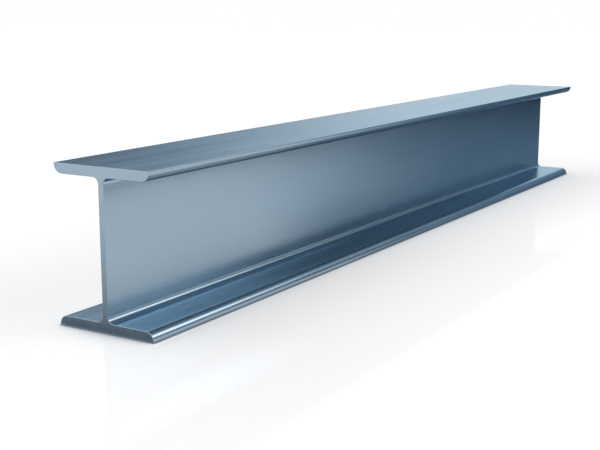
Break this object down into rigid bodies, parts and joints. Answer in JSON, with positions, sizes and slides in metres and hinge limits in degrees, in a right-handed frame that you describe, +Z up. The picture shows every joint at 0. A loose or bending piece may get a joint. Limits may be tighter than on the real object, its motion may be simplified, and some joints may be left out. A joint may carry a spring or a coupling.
{
  "type": "steel h-beam",
  "caption": "Straight rolled steel H-beam: wide parallel flanges with rounded inner edges, joined by an upright central web, sawn square at the ends.",
  "frame": {"origin": "middle of the bottom face of the lower flange, on which the beam lies", "axes": "+X along the beam, +Y across the flanges, +Z up the web"},
  "size_m": [3, 0.29, 0.4],
  "materials": {
    "rolled_steel": "clean bare rolled steel, blue-grey, satin, with faint grain along the rolling direction"
  },
  "bodies": {
    "root": {"h_beam": "rolled_steel"}
  },
  "joints": []
}
